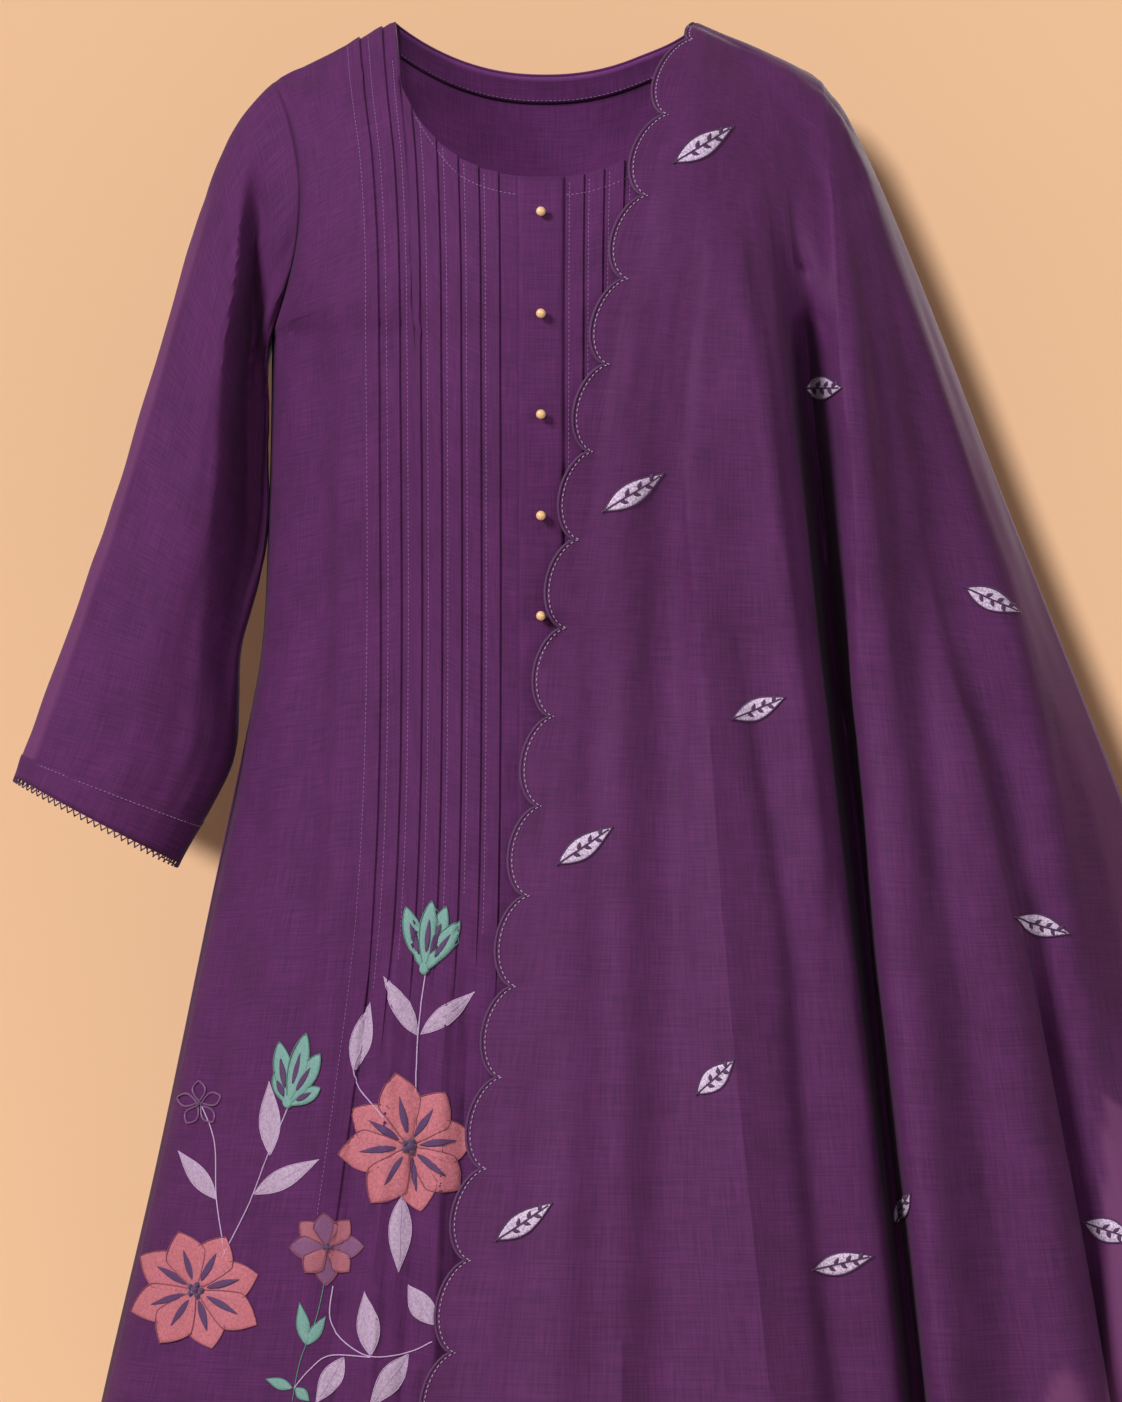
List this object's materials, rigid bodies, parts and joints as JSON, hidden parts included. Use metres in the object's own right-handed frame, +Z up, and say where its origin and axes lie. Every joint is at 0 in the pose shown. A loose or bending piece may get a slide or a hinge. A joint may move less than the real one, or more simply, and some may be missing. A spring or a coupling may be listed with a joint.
{
  "type": "kurti set with dupatta",
  "caption": "A-line pin-tucked kurti with round neck and three-quarter sleeves, filled out, with a scalloped dupatta draped over its left shoulder.",
  "frame": {"origin": "midway between the two neck points, level with the top of the shoulders", "axes": "+Z up, the front faces -Y, +X towards the wearer's left"},
  "size_m": [0.797, 0.3896, 1.1204],
  "materials": {
    "kurti_cotton": "matte woven cotton",
    "dupatta_voile": "soft, slightly sheer voile",
    "lace_thread": "matte thread",
    "button_pearl": "pearly gloss"
  },
  "bodies": {
    "root": {"kurti_front": "kurti_cotton", "kurti_back": "kurti_cotton", "sleeve_right": "kurti_cotton", "sleeve_left": "kurti_cotton", "back_neck_facing": "kurti_cotton", "placket": "kurti_cotton", "button_1": "button_pearl", "button_2": "button_pearl", "button_3": "button_pearl", "button_4": "button_pearl", "button_5": "button_pearl", "cuff_lace_right": "lace_thread", "cuff_lace_left": "lace_thread", "dupatta_front_fall": "dupatta_voile", "dupatta_arm_fall": "dupatta_voile", "dupatta_back_fall": "dupatta_voile", "dupatta_edge_front": "dupatta_voile", "dupatta_edge_back": "dupatta_voile"}
  },
  "joints": []
}
